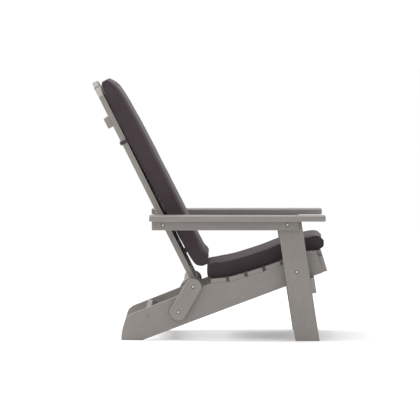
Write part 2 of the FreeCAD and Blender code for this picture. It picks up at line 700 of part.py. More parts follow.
apron_frame = FreeCAD.Placement(FreeCAD.Vector(front_low[0], 0, front_low[1]),
                                FreeCAD.Rotation(FreeCAD.Vector(0, 1, 0), -size("front_lean")))
screws("apron_screws", [
    (apron_frame, (0, side * mid_rail, up), (-1, 0, 0), ["front_apron", "side_rail_" + word])
    for word, side in SIDES for up in (16, 42)], size("slat_board") + 24)
screws("stretcher_screws", [
    (floor_frame, (size("stretcher_x") + size("stretcher_thick") / 2, side * rail_outer,
                   stretcher_top - size("stretcher_height") / 2), (0, -side, 0),
     ["side_rail_" + word, "rear_stretcher"])
    for word, side in SIDES], board + 30)

mid_leg = leg_outer - board / 2
screws("leg_brace_screws", [
    (leg_frame, (size("slat_board"), side * mid_leg, brace_low + part_way * size("leg_brace_height")),
     (-1, 0, 0), ["leg_brace", "front_leg_" + word])
    for word, side in SIDES for part_way in (0.25, 0.75)], size("slat_board") + 28)

mid_arm = arm_outer - board / 2
for word, side in SIDES:
    screws("armrest_screws_" + word, [
        (floor_frame, (x, side * mid_arm, size("armrest_under") + board), (0, 0, -1),
         ["armrest_" + word, "arm_rail_" + word]) for x in (-150, 28, 206)], board + 20)

bars = (("top_crossbar", crossbar_from + size("crossbar_height") / 2),
        ("middle_brace", size("middle_brace_from") + size("middle_brace_height") / 2),
        ("lower_brace", (size("lower_brace_from") + size("lower_brace_top")) / 2))
back_places = []
for i, middle in enumerate(slat_middles, start=1):
    for bar, up in bars:
        for aside in (-slat_wide / 4, slat_wide / 4):
            face = size("back_board") - slat_set_back(middle)
            back_places.append((back_frame, (face, middle + aside, up), (-1, 0, 0),
                                ["back_slat_%d" % i, bar]))
screws("back_slat_screws", back_places, size("back_board") + 12)

for n, obj in enumerate(nodes):
    if obj.Label in drilled:
        label = obj.Label
        obj.Label = label + "_blank"
        holes = doc.addObject("Part::Compound", "holes_" + label)
        holes.Links = drilled[label]
        nodes[n] = cut("drilled_" + label, obj, holes)
        nodes[n].Label = label

# ---------------------------------------------------------------- check and write

doc.recompute()
failed = [o.Name for o in doc.Objects if "Invalid" in o.State or "Error" in o.State]
if failed:
    raise RuntimeError("failed to build: " + ", ".join(failed))
for obj in nodes:
    if obj.Shape.isNull() or not obj.Shape.isValid():
        raise RuntimeError(obj.Label + " has no valid shape")

whole = FreeCAD.BoundBox()
for obj in nodes:
    whole.add(obj.Shape.BoundBox)
middle_x = (whole.XMin + whole.XMax) / 2
print("box: %.1f x %.1f x %.1f" % (whole.XLength, whole.YLength, whole.ZLength))

os.makedirs("parts", exist_ok=True)
for obj in nodes:
    shape = obj.Shape.copy()
    shape.translate(FreeCAD.Vector(-middle_x, 0, -whole.ZMin))
    shape.exportStep(os.path.join("parts", obj.Label + ".step"))
    print("%-22s %2d solid, %9.1f mm3" % (obj.Label, len(shape.Solids), shape.Volume))
print("written: %d nodes, shifted %.3f in X and %.3f in Z" % (len(nodes), -middle_x, -whole.ZMin))
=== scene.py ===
# %% [markdown]
# # A folding garden chair
# The chair has grey painted boards on steel bolts, a scooped seat, a back of five slats with an arched
# top, and two loose cushions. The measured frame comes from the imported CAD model. This lesson gives it
# rounded edges, paint with grain in it, real bolt and screw heads, and cushions that are stuffed.

# %% Load the measured frame
import json
import math
import bmesh
import bpy
import numpy as np
from mathutils import Euler, Matrix, Vector, kdtree

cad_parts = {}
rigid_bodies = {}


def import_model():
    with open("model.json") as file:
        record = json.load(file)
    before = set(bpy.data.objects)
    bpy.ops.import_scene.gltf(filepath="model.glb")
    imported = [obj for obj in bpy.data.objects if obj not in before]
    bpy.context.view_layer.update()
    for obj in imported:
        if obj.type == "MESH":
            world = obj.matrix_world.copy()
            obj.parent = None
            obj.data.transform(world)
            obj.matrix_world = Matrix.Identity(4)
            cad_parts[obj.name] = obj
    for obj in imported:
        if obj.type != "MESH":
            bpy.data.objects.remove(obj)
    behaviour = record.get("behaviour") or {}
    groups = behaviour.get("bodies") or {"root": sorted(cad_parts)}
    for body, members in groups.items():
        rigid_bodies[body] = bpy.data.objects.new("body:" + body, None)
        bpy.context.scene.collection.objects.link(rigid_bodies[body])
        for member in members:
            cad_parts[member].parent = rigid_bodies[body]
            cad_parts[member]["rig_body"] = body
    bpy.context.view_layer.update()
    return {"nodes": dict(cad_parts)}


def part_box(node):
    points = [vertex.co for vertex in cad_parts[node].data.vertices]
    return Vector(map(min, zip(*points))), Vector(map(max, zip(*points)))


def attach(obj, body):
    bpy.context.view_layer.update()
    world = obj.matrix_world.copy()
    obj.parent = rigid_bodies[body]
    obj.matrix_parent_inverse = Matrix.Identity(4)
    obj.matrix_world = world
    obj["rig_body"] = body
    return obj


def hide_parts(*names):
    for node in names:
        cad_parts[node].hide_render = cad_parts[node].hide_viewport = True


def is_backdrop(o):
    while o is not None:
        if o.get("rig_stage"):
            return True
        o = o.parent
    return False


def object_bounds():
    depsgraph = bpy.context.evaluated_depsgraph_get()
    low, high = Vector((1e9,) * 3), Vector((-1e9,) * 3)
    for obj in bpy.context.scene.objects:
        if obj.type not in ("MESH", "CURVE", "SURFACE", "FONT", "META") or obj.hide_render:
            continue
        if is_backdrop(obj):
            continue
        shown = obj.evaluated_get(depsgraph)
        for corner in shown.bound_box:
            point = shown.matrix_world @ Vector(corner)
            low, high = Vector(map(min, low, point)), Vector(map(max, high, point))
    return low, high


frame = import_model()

nodes = frame["nodes"]

# %% [markdown]
# Blender works in metres, and parts of a wooden chair are easier to think of in millimetres, so one
# constant turns one into the other. The link plates' two pivots are read from the bolts that stand in
# them, because the CAD model has already placed those.

# %% Units and pivots
MM = 0.001
rad = math.radians


def middle(node):
    low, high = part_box(node)
    return (low + high) / 2


def body_name(node):
    return nodes[node]["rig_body"]


link_foot = middle("link_lower_bolts")
link_head = middle("link_upper_bolts")
link_rise = math.degrees(math.atan2(link_head.z - link_foot.z, link_head.x - link_foot.x))
print("links rise at %.1f degrees" % link_rise)

# %% [markdown]
# Grey garden paint is thin enough for the grain to show through it. The pattern is made in three
# scales: slow patches of tone, growth lines along the board, and fine pores. A Mapping node of the
# TEXTURE kind moves the pattern to each board's own middle and turns it along the board, so the grain
# runs the right way and no two boards match. Paint wears thin on the arrises, so an attribute that the
# rounded edges carry mixes in a paler tone there.

# %% Node helpers
def node_tree(name):
    made = bpy.data.materials.new(name)
    made.use_nodes = True
    tree = made.node_tree
    tree.nodes.clear()
    out = tree.nodes.new("ShaderNodeOutputMaterial")
    shader = tree.nodes.new("ShaderNodeBsdfPrincipled")
    tree.links.new(shader.outputs["BSDF"], out.inputs["Surface"])
    return made, tree, shader


def add(tree, kind, inputs=(), **settings):
    made = tree.nodes.new(kind)
    for key, value in settings.items():
        setattr(made, key, value)
    for key, value in dict(inputs).items():
        if isinstance(value, bpy.types.NodeSocket):
            tree.links.new(value, made.inputs[key])
        else:
            made.inputs[key].default_value = value
    return made


def mapped(tree, place=(0, 0, 0), turn=(0, 0, 0)):
    """Object coordinates, moved to a piece's middle and turned along it."""
    where = add(tree, "ShaderNodeTexCoord")
    moved = add(tree, "ShaderNodeMapping", {"Vector": where.outputs["Object"], "Location": place,
                                            "Rotation": turn}, vector_type="TEXTURE")
    return moved.outputs["Vector"]


def stretched(tree, vector, scale, turn=(0, 0, 0)):
    """The same coordinates with the pattern drawn out along one of them."""
    made = add(tree, "ShaderNodeMapping", {"Vector": vector, "Scale": scale, "Rotation": turn})
    return made.outputs["Vector"]


def noise(tree, vector, scale, detail=3.0, rough=0.5, twist=0.0):
    return add(tree, "ShaderNodeTexNoise", {"Vector": vector, "Scale": scale, "Detail": detail,
                                            "Roughness": rough, "Distortion": twist}).outputs["Fac"]


def between(tree, value, low, high, from_low=0.3, from_high=0.7):
    made = add(tree, "ShaderNodeMapRange", {"Value": value, "From Min": from_low, "From Max": from_high,
                                            "To Min": low, "To Max": high})
    return made.outputs["Result"]


def maths(tree, what, first, second):
    return add(tree, "ShaderNodeMath", {0: first, 1: second}, operation=what).outputs[0]


MIX_SHARE, MIX_FIRST, MIX_SECOND, MIX_RESULT = 0, 6, 7, 2     # a colour Mix node's own sockets


def blend_colour(tree, share, first, second, how="MIX"):
    made = add(tree, "ShaderNodeMix", {MIX_SHARE: share, MIX_FIRST: first, MIX_SECOND: second},
               data_type="RGBA", blend_type=how)
    return made.outputs[MIX_RESULT]


def colour(red, green, blue):
    return (red, green, blue, 1.0)


# %% The grey painted wood
PAINT = colour(0.224, 0.207, 0.193)
PAINT_DEEP = colour(0.176, 0.162, 0.150)
PAINT_WORN = colour(0.33, 0.31, 0.292)


PATCH_SCALE, STREAK_SCALE, PORE_SCALE, RING_SCALE = 9, 95, 620, 34
STREAK_STRETCH, PORE_STRETCH, RING_STRETCH = (0.07, 1, 1), (0.035, 1, 1), (0.09, 1, 1)
RING_TURN = (0.5, 0.0, 0.02)          # the growth rings meet a board's faces at a slant
STREAKS_SHARE, RINGS_SHARE = 0.6, 0.4
GRAIN_DEEP = 0.25 * MM


def grey_wood(name, place, turn):
    """Thin grey paint on a board whose middle is place and whose grain is turned by turn."""
    made, tree, shader = node_tree("grey_wood_" + name)
    board = mapped(tree, place, turn)
    patches = noise(tree, board, PATCH_SCALE, 2)
    streaks = noise(tree, stretched(tree, board, STREAK_STRETCH), STREAK_SCALE, 5, 0.6, 0.6)
    pores = noise(tree, stretched(tree, board, PORE_STRETCH), PORE_SCALE, 2, 0.55)
    rings = add(tree, "ShaderNodeTexWave", {
        "Vector": stretched(tree, board, RING_STRETCH, RING_TURN), "Scale": RING_SCALE,
        "Distortion": 7, "Detail": 2, "Detail Scale": 0.8}, bands_direction="Z").outputs["Fac"]
    grain = maths(tree, "ADD", maths(tree, "MULTIPLY", between(tree, streaks, 0, 1), STREAKS_SHARE),
                  maths(tree, "MULTIPLY", rings, RINGS_SHARE))
    tone = blend_colour(tree, between(tree, grain, 0.0, 0.55, 0.1, 0.9), PAINT, PAINT_DEEP)
    tone = blend_colour(tree, between(tree, patches, 0.0, 0.12), tone, PAINT_WORN)
    tone = blend_colour(tree, between(tree, pores, 0.0, 0.14, 0.42, 0.75), tone, PAINT_DEEP, "MULTIPLY")
    edge = add(tree, "ShaderNodeAttribute", attribute_name="worn_edge").outputs["Fac"]
    wear = maths(tree, "MULTIPLY", edge, between(tree, streaks, 0.15, 0.6))
    tone = blend_colour(tree, wear, tone, PAINT_WORN)
    tree.links.new(tone, shader.inputs["Base Color"])
    tree.links.new(between(tree, grain, 0.62, 0.48, 0.1, 0.9), shader.inputs["Roughness"])
    height = maths(tree, "SUBTRACT", maths(tree, "MULTIPLY", grain, 0.6),
                   between(tree, pores, 0, 1, 0.45, 0.75))
    bump = add(tree, "ShaderNodeBump", {"Height": height, "Strength": 0.3, "Distance": GRAIN_DEEP})
    tree.links.new(bump.outputs["Normal"], shader.inputs["Normal"])
    shader.inputs["Specular IOR Level"].default_value = 0.35
    return made


print("grey paint: grain at", STREAK_SCALE, "and", RING_SCALE, "to the metre, pores at", PORE_SCALE)

# %% [markdown]
# A sawn board that has been painted never has a perfectly sharp arris: a cutter or sandpaper takes a
# millimetre or two off it, and that thin rounded strip is what catches the light. A Bevel modifier
# could round a board, but it would round the rims of its holes as well. So a copy of each CAD board is
# merged into one surface, its flat faces are made whole again, and only its outer edges are bevelled.
# The walls of bolt and screw holes are small and hollow, so they are told from the board's own rounded
# corners by their size and by the way they fold.

# %% Board helper
HOLE_WALL = 60 * MM * MM      # a hole's wall is made of facets smaller than this
HOLLOW = -0.02                # edges that fold inwards by more than this are in a hollow
SHARP = rad(28)               # edges that fold outwards by more than this are arrises
SAME_POINT = 0.005 * MM
SAME_FACE = rad(0.6)
PATTERN_STEP = Vector((0.13, 0.07, 0.11))   # how far the paint's pattern is moved from board to board
PATTERNS = 7


def fold(edge):
    return edge.calc_face_angle_signed(0.0) if len(edge.link_faces) == 2 else 0.0


def is_hole_wall(face):
    small = face.calc_area() < HOLE_WALL
    return small and any(fold(e) < HOLLOW for e in face.edges)


def merged_copy(node):
    """The CAD node's mesh as one clean surface."""
    bm = bmesh.new()
    bm.from_mesh(nodes[node].data)
    bmesh.ops.remove_doubles(bm, verts=bm.verts, dist=SAME_POINT)
    bmesh.ops.dissolve_limit(bm, angle_limit=SAME_FACE, verts=bm.verts, edges=bm.edges)
    return bm


def piece_from(bm, name):
    mesh = bpy.data.meshes.new(name)
    bm.to_mesh(mesh)
    bm.free()
    made = bpy.data.objects.new(name, mesh)
    bpy.context.scene.collection.objects.link(made)
    return made


def smooth(piece, angle=40):
    for polygon in piece.data.polygons:
        polygon.use_smooth = True
    piece.data.set_sharp_from_angle(angle=rad(angle))
    weighted = piece.modifiers.new("even_normals", "WEIGHTED_NORMAL")
    weighted.keep_sharp = True
    return piece


def rounded(bm, edges, offset, segments=2):
    """Rounds some edges, and gives back the new faces."""
    return bmesh.ops.bevel(bm, geom=edges, offset=offset, offset_type="OFFSET", segments=segments,
                           profile=0.5, affect="EDGES", material=-1, clamp_overlap=True)["faces"]


def board(node, turn, round_by=1.6):
    """A board with rounded, slightly worn arrises, which stands for its CAD node."""
    bm = merged_copy(node)
    walls = {f for f in bm.faces if is_hole_wall(f)}
    rims = [e for e in bm.edges if fold(e) > SHARP and not any(f in walls for f in e.link_faces)]
    strip = set(rounded(bm, rims, round_by * MM))
    worn = bm.verts.layers.float.new("worn_edge")
    for vert in bm.verts:
        vert[worn] = 1.0 if vert.link_faces and all(f in strip for f in vert.link_faces) else 0.0
    made = smooth(piece_from(bm, node + "_painted"))
    place = middle(node) + PATTERN_STEP * (len(made.data.vertices) % PATTERNS)
    made.data.materials.append(grey_wood(node, place, Euler(turn)))
    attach(made, body_name(node))
    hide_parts(node)
    return made


# %% [markdown]
# The grain runs along each board: along the rails' straight lower edge, up the links, legs and back
# slats, from front to back on the arms, and across the chair on everything that spans it.

# %% Paint every board
RAIL_SLOPE, LEG_LEAN, BACK_LEAN = 20.6, 8.7, 26.55
ALONG_RAIL = (0, -rad(RAIL_SLOPE), 0)
ALONG_LINK = (0, -rad(link_rise), 0)
ALONG_LEG = (0, -rad(90 + LEG_LEAN), 0)
ALONG_BACK = (0, -rad(90 + BACK_LEAN), 0)
ALONG_ARM = (0, 0, 0)
ACROSS = (0, 0, rad(90))

painted = []
for side in ("right", "left"):
    painted += [board("side_rail_" + side, ALONG_RAIL, 1.8),
                board("link_plate_" + side, ALONG_LINK, 2.2),
                board("front_leg_" + side, ALONG_LEG, 1.8),
                board("arm_rail_" + side, ALONG_ARM, 1.6),
                board("armrest_" + side, ALONG_ARM, 3.0)]
for number in range(1, 7):
    painted.append(board("seat_slat_%d" % number, ACROSS, 1.6))
for number in range(1, 6):
    painted.append(board("back_slat_%d" % number, ALONG_BACK, 1.8))
for node in ("front_apron", "rear_stretcher", "top_crossbar", "middle_brace", "lower_brace",
             "leg_brace"):
    painted.append(board(node, ACROSS, 1.6))
print("painted", len(painted), "boards,", sum(len(p.data.polygons) for p in painted), "faces")

# %% [markdown]
# The bolts are zinc plated steel with low domed heads and a hexagonal socket. Each head sits in a
# counterbore and shows as a small bright dot. A lathe makes such a head, and a spin does what a lathe
# does: it turns half of the outline round the axis. The ring of points round the socket is then drawn
# out to a hexagon. Where each bolt stands is read from the separate solids of its CAD node.

# %% Plated steel and nylon
def plated_steel(name, tone, rough):
    made, tree, shader = node_tree(name)
    where = mapped(tree)
    cloud = noise(tree, where, 160, 3)
    fine = noise(tree, where, 2600, 2)
    dull = colour(*[v * 0.78 for v in tone])
    tree.links.new(blend_colour(tree, between(tree, cloud, 0, 1), colour(*tone), dull),
                   shader.inputs["Base Color"])
    tree.links.new(between(tree, cloud, rough, rough + 0.14), shader.inputs["Roughness"])
    bump = add(tree, "ShaderNodeBump", {"Height": fine, "Strength": 0.12, "Distance": 0.05 * MM})
    tree.links.new(bump.outputs["Normal"], shader.inputs["Normal"])
    shader.inputs["Metallic"].default_value = 1.0
    return made


zinc = plated_steel("zinc_steel", (0.78, 0.77, 0.75), 0.26)
brass = plated_steel("insert_steel", (0.62, 0.58, 0.5), 0.34)


def moulded_nylon():
    made, tree, shader = node_tree("nylon")
    where = mapped(tree)
    tree.links.new(blend_colour(tree, noise(tree, where, 90, 2), colour(0.14, 0.14, 0.14),
                                colour(0.18, 0.178, 0.175)), shader.inputs["Base Color"])
    bump = add(tree, "ShaderNodeBump", {"Height": noise(tree, where, 3000, 2), "Strength": 0.15,
                                        "Distance": 0.05 * MM})
    tree.links.new(bump.outputs["Normal"], shader.inputs["Normal"])
    shader.inputs["Roughness"].default_value = 0.5
    return made


nylon = moulded_nylon()


def islands(node):
    """The points of each separate solid of a node, as arrays."""
    bm = merged_copy(node)
    waiting, found = set(bm.verts), []
    while waiting:
        group, edge_of_group = set(), [waiting.pop()]
        while edge_of_group:
            vert = edge_of_group.pop()
            group.add(vert)
            for linked in vert.link_edges:
                other = linked.other_vert(vert)
                if other in waiting:
                    waiting.remove(other)
                    edge_of_group.append(other)
        found.append(np.array([v.co for v in group]))
    bm.free()
    return found


# %% Domed bolts
def turned(bm, outline, steps=24):
    """Spins an outline of (radius, height) points round Z."""
    verts = [bm.verts.new((radius, 0, height)) for radius, height in outline]
    edges = [bm.edges.new(pair) for pair in zip(verts, verts[1:])]
    bmesh.ops.spin(bm, geom=verts + edges, cent=(0, 0, 0), axis=(0, 0, 1), angle=2 * math.pi,
                   steps=steps, use_merge=True)
    bmesh.ops.remove_doubles(bm, verts=bm.verts, dist=0.001 * MM)
    bmesh.ops.recalc_face_normals(bm, faces=bm.faces)


SOCKET, SOCKET_DEEP = 2.1 * MM, 2.2 * MM
SOCKET_GROWTH = 1.08          # a hexagon's corners reach past the ring that it is drawn from
BOLT_HEAD_HIGH, BOLT_SHANK = 3.5 * MM, 3 * MM


def bolt_mesh(length, head):
    """A bolt along Z: its head's top is at 0 and its shank goes down."""
    bm = bmesh.new()
    turned(bm, [(0, -SOCKET_DEEP), (SOCKET, -SOCKET_DEEP), (SOCKET, -0.1 * MM), (head * 0.62, 0),
                (head * 0.86, -0.9 * MM), (head, -2.2 * MM), (head, -BOLT_HEAD_HIGH),
                (BOLT_SHANK, -BOLT_HEAD_HIGH), (BOLT_SHANK, -length + 1 * MM),
                (BOLT_SHANK - 0.8 * MM, -length), (0, -length)])
    for vert in bm.verts:
        flat = vert.co.xy
        if abs(flat.length - SOCKET) < 0.01 * MM:
            turn = math.atan2(flat.y, flat.x) % rad(60) - rad(30)
            vert.co.xy = flat * (math.cos(rad(30)) / math.cos(turn) * SOCKET_GROWTH)
    return bm


def towards(direction, place):
    """A matrix that lays Z along direction and moves the origin to place."""
    return Matrix.Translation(place) @ Vector(direction).to_track_quat("Z", "Y").to_matrix().to_4x4()


def joined(name, makers):
    """One object from several bmeshes, each with its own matrix."""
    whole = bmesh.new()
    for bm, matrix in makers:
        bm.transform(matrix)
        part = bpy.data.meshes.new("part")
        bm.to_mesh(part)
        bm.free()
        whole.from_mesh(part)
        bpy.data.meshes.remove(part)
    return piece_from(whole, name)


def finish_metal(piece, node, material):
    piece.data.materials.append(material)
    smooth(piece, 32)
    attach(piece, body_name(node))
    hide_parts(node)
    return piece


for node in ("link_lower_bolts", "link_upper_bolts", "leg_bolts", "arm_rear_bolts",
             "arm_front_bolt_right", "arm_front_bolt_left"):
    makers = []
    for points in islands(node):
        low, high = points.min(0), points.max(0)
        out = -1 if low[1] < 0 else 1
        face, end = (low[1], high[1]) if out < 0 else (high[1], low[1])
        place = Vector(((low[0] + high[0]) / 2, face, (low[2] + high[2]) / 2))
        makers.append((bolt_mesh(abs(face - end), (high[0] - low[0]) / 2), towards((0, out, 0), place)))
    finish_metal(joined(node + "_domed", makers), node, zinc)
    print(node, "turned as", len(makers), "bolts")

# %% [markdown]
# The nuts are six-sided with softened corners, and the bolt's end shows in the middle of each. A nut
# is simple enough to start from a cone with six sides and equal ends, whose end faces are inset and
# sunk to leave room for the bolt's end.

# %% Hexagonal nuts
FLAT_TO_CORNER = 0.866        # how far a hexagon's flats lie from its middle, for corners at 1
CAP_AREA = 20 * MM * MM       # a nut's end faces are larger than this
NUT_HOLE, NUT_SUNK = 3 * MM, 0.9 * MM


def nut_mesh(radius, high):
    bm = bmesh.new()
    bmesh.ops.create_cone(bm, cap_ends=True, segments=6, radius1=radius, radius2=radius, depth=high)
    rounded(bm, bm.edges[:], 0.5 * MM)
    caps = [f for f in bm.faces if abs(f.normal.z) > 0.99 and f.calc_area() > CAP_AREA]
    bmesh.ops.inset_individual(bm, faces=caps, thickness=radius * FLAT_TO_CORNER - NUT_HOLE - 0.6 * MM)
    for face in caps:
        bmesh.ops.translate(bm, verts=face.verts, vec=face.normal * -NUT_SUNK)
    return bm


for node in ("link_lower_nuts", "link_upper_nuts", "leg_nuts"):
    makers = []
    for points in islands(node):
        low, high = points.min(0), points.max(0)
        place = Vector((low + high) / 2)
        makers.append((nut_mesh((high[0] - low[0]) / 2, high[1] - low[1]), towards((0, 1, 0), place)))
    finish_metal(joined(node + "_hex", makers), node, zinc)
    print(node, "made as", len(makers), "nuts")

# %% [markdown]
# Washers, spacers and threaded inserts are plain turned rings, and the CAD model has them exactly, so
# they stay as they are and only take a finish.

# %% Rings that stay
RINGS = {"link_lower_washers": zinc, "link_upper_washers": zinc, "arm_rear_washers": zinc,
         "arm_front_washer_right": zinc, "arm_front_washer_left": zinc, "arm_rear_inserts": brass,
         "leg_top_inserts": brass, "leg_spacers": nylon}
for node, finish in RINGS.items():
    nodes[node].data.materials.clear()
    nodes[node].data.materials.append(finish)
print("kept", len(RINGS), "nodes of rings")

# %% [markdown]
# Seventy screws hold the boards together. Their flat heads are level with the wood and have a cross
# recess. One head is a disc bridged to a cross-shaped hole that is pushed in and tapered, and it is
# set in every place where the CAD model has a screw. The screw's axis is the longest direction of its
# solid, and its head is the wider end. The rear stretcher was screwed on before the chair was painted,
# so its heads are painted over.

# %% Cross-headed screws
SCREW_HEAD, SCREW_HEAD_HIGH, SCREW_SHANK, SCREW_POINT = 4 * MM, 2 * MM, 2 * MM, 3 * MM
CROSS_DEEP = 1.1 * MM


def screw_mesh(length):
    bm = bmesh.new()
    turned(bm, [(SCREW_HEAD, 0), (SCREW_HEAD, -0.4 * MM), (SCREW_SHANK, -SCREW_HEAD_HIGH),
                (SCREW_SHANK, -length + SCREW_POINT), (0, -length)], 16)
    rim = [e for e in bm.edges if all(abs(v.co.z) < 0.001 * MM for v in e.verts)]
    arm, half = SCREW_HEAD * 0.55, SCREW_HEAD * 0.13
    corners = [(arm, half), (half, half), (half, arm), (-half, arm), (-half, half), (-arm, half),
               (-arm, -half), (-half, -half), (-half, -arm), (half, -arm), (half, -half), (arm, -half)]
    cross = [bm.verts.new((x, y, 0)) for x, y in corners]
    edges = [bm.edges.new((cross[i], cross[(i + 1) % len(cross)])) for i in range(len(cross))]
    bmesh.ops.bridge_loops(bm, edges=rim + edges)
    floor_face = bm.faces.new(cross)
    pushed = bmesh.ops.extrude_discrete_faces(bm, faces=[floor_face])["faces"][0]
    bmesh.ops.translate(bm, verts=pushed.verts, vec=(0, 0, -CROSS_DEEP))
    bmesh.ops.scale(bm, verts=pushed.verts, vec=(0.6, 0.6, 1))
    bmesh.ops.recalc_face_normals(bm, faces=bm.faces)
    return bm


def screw_axis(points):
    """Where a screw's head is, which way it faces, and how long the screw is."""
    centre = points.mean(0)
    axis = np.linalg.svd(points - centre, full_matrices=False)[2][0]
    reach = (points - centre) @ axis
    away = np.linalg.norm(points - centre - np.outer(reach, axis), axis=1)
    high_end = away[reach > reach.max() - 1 * MM].max()
    low_end = away[reach < reach.min() + 1 * MM].max()
    if low_end > high_end:
        axis, reach = -axis, -reach
    return Vector(centre + axis * reach.max()), Vector(axis), reach.max() - reach.min()


SCREW_NODES = ("seat_slat_screws", "apron_screws", "stretcher_screws", "leg_brace_screws",
               "armrest_screws_right", "armrest_screws_left", "back_slat_screws")
painted_over = grey_wood("over_stretcher_screws", middle("rear_stretcher"), Euler(ALONG_RAIL))
fitted = 0                    # how many screws are in place
for node in SCREW_NODES:
    makers = []
    for points in islands(node):
        centre = (points.min(0) + points.max(0)) / 2
        place, axis, length = screw_axis(points - centre)
        makers.append((screw_mesh(length), towards(axis, place + Vector(centre))))
    fitted += len(makers)
    finish = painted_over if node == "stretcher_screws" else zinc
    finish_metal(joined(node + "_cross", makers), node, finish)
print("fitted", fitted, "screws")

# %% [markdown]
# The cushions have dark, plainly woven covers, and a flat woven strap holds the back cushion to the
# slats. Threads are far too fine to model, so the weave is in the material: three sets of waves cross
# and make a little colour and a little relief. Sheen gives the cloth its soft pale edge. The strap is
# the CAD band with softened edges.

# %% Fabric materials
PATCHES, FUZZ = 14, 900
SHEEN_TINT = colour(0.75, 0.7, 0.74)
WEAVE_DEEP = 0.3 * MM


def woven(name, tone, deep, threads, rough=0.9):
    """A plain weave: two sets of threads cross, and each lifts where it passes over the other."""
    made, tree, shader = node_tree(name)
    where = mapped(tree)
    soft = noise(tree, where, PATCHES, 3)
    fuzz = noise(tree, where, FUZZ, 3, 0.7)
    waves = [add(tree, "ShaderNodeTexWave", {"Vector": where, "Scale": threads, "Distortion": 0.6,
                                             "Detail": 1, "Detail Scale": 3},
                 bands_direction=bands).outputs["Fac"] for bands in ("X", "Y", "Z")]
    crossed = maths(tree, "ADD", maths(tree, "MULTIPLY", waves[0], waves[1]), waves[2])
    weave = maths(tree, "MULTIPLY", crossed, 0.5)
    worn = colour(*[v * 1.35 for v in tone])
    now = blend_colour(tree, between(tree, weave, 0.45, 0.0, 0.1, 0.9), colour(*tone), colour(*deep))
    now = blend_colour(tree, between(tree, soft, 0.0, 0.22), now, worn)
    now = blend_colour(tree, between(tree, fuzz, 0.0, 0.25), now, colour(*deep))
    tree.links.new(now, shader.inputs["Base Color"])
    shader.inputs["Roughness"].default_value = rough
    shader.inputs["Specular IOR Level"].default_value = 0.2
    shader.inputs["Sheen Weight"].default_value = 0.2
    shader.inputs["Sheen Roughness"].default_value = 0.5
    shader.inputs["Sheen Tint"].default_value = SHEEN_TINT
    height = maths(tree, "ADD", maths(tree, "MULTIPLY", weave, 0.7), maths(tree, "MULTIPLY", fuzz, 0.4))
    bump = add(tree, "ShaderNodeBump", {"Height": height, "Strength": 0.35, "Distance": WEAVE_DEEP})
    tree.links.new(bump.outputs["Normal"], shader.inputs["Normal"])
    return made


cushion_cloth = woven("cushion_fabric", (0.052, 0.038, 0.043), (0.031, 0.023, 0.026), 130)
strap_web = woven("strap_webbing", (0.056, 0.042, 0.048), (0.030, 0.023, 0.027), 240, 0.8)
print("made", cushion_cloth.name, "and", strap_web.name)

# %% The strap
bm = merged_copy("back_strap")
rounded(bm, [e for e in bm.edges if fold(e) > SHARP], 0.5 * MM)
strap = smooth(piece_from(bm, "back_strap_woven"))
strap.data.materials.append(strap_web)
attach(strap, "back")
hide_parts("back_strap")
print("strap:", len(strap.data.polygons), "faces")

# %% [markdown]
# A cushion is two panels and a side band sewn together round a filling. The filling swells every panel,
# and the cover's seams hold it in. Its corners stand out as ears, and its sides pull in between them.
# A rounded block would have no life in it, and sculpting can't be written down, so each cushion starts
# as its CAD block with the corners drawn out, is remeshed into even quads, and is blown up a little by
# a cloth simulation. What lies on the slats stays flat, and no point may move further than a few
# millimetres.

# %% Cushion helpers
VOXEL = 6.5 * MM
SEAM_REACH = 4 * MM           # points this close to a seam are held by it
SEAM_STEP = 3 * MM
SEAM_FOLD = rad(60)           # panels that meet at more than this are sewn together
PRESSURE = 4.0
CLOTH_STEPS = 20
RESTING = -0.4                # normals that point at the slats by this much are on the side that rests


def seam_line(bm):
    """Points along the block's sharp edges, where its panels are sewn together."""
    points = []
    for edge in bm.edges:
        if abs(fold(edge)) > SEAM_FOLD:
            a, b = (v.co for v in edge.verts)
            count = max(1, int((b - a).length / SEAM_STEP))
            points += [a.lerp(b, i / count) for i in range(count + 1)]
    return points


def corners_out(centre, axes, halves, reaches):
    """A function that draws a block's corners out in plan. axes are the plan's two directions."""
    first, second = (Vector(a) for a in axes)

    def moved(point):
        away = point - centre
        a, b = away.dot(first), away.dot(second)
        reach = reaches[0] if b > 0 else reaches[1]
        over_a = abs(a) - (halves[0] - reach)
        over_b = abs(b) - (halves[1] - reach)
        if over_a <= 0 or over_b <= 0:
            return point
        push = 1 - max(over_a, over_b) / math.hypot(over_a, over_b)
        shift = first * math.copysign(over_a * push, a)
        return point + shift + second * math.copysign(over_b * push, b)
    return moved


def bake(piece):
    """Applies a piece's modifiers to its mesh."""
    seen = piece.evaluated_get(bpy.context.evaluated_depsgraph_get())
    made = bpy.data.meshes.new_from_object(seen)
    piece.modifiers.clear()
    piece.data = made


def remeshed(piece):
    change = piece.modifiers.new("even_quads", "REMESH")
    change.mode = "VOXEL"
    change.voxel_size = VOXEL
    bake(piece)


def eased(bm, verts, passes):
    """Smooths some points a number of times."""
    for _ in range(passes):
        bmesh.ops.smooth_vert(bm, verts=verts, factor=0.5, use_axis_x=True, use_axis_y=True,
                              use_axis_z=True)


print("cushion helpers ready: quads of", VOXEL / MM, "mm")

# %% [markdown]
# The cloth simulation pushes the cover out evenly from inside. It would go on and on, so every point's
# movement is squeezed under a cap that it nears but never passes. That keeps the swelling smooth, where
# a hard stop would leave a dent.

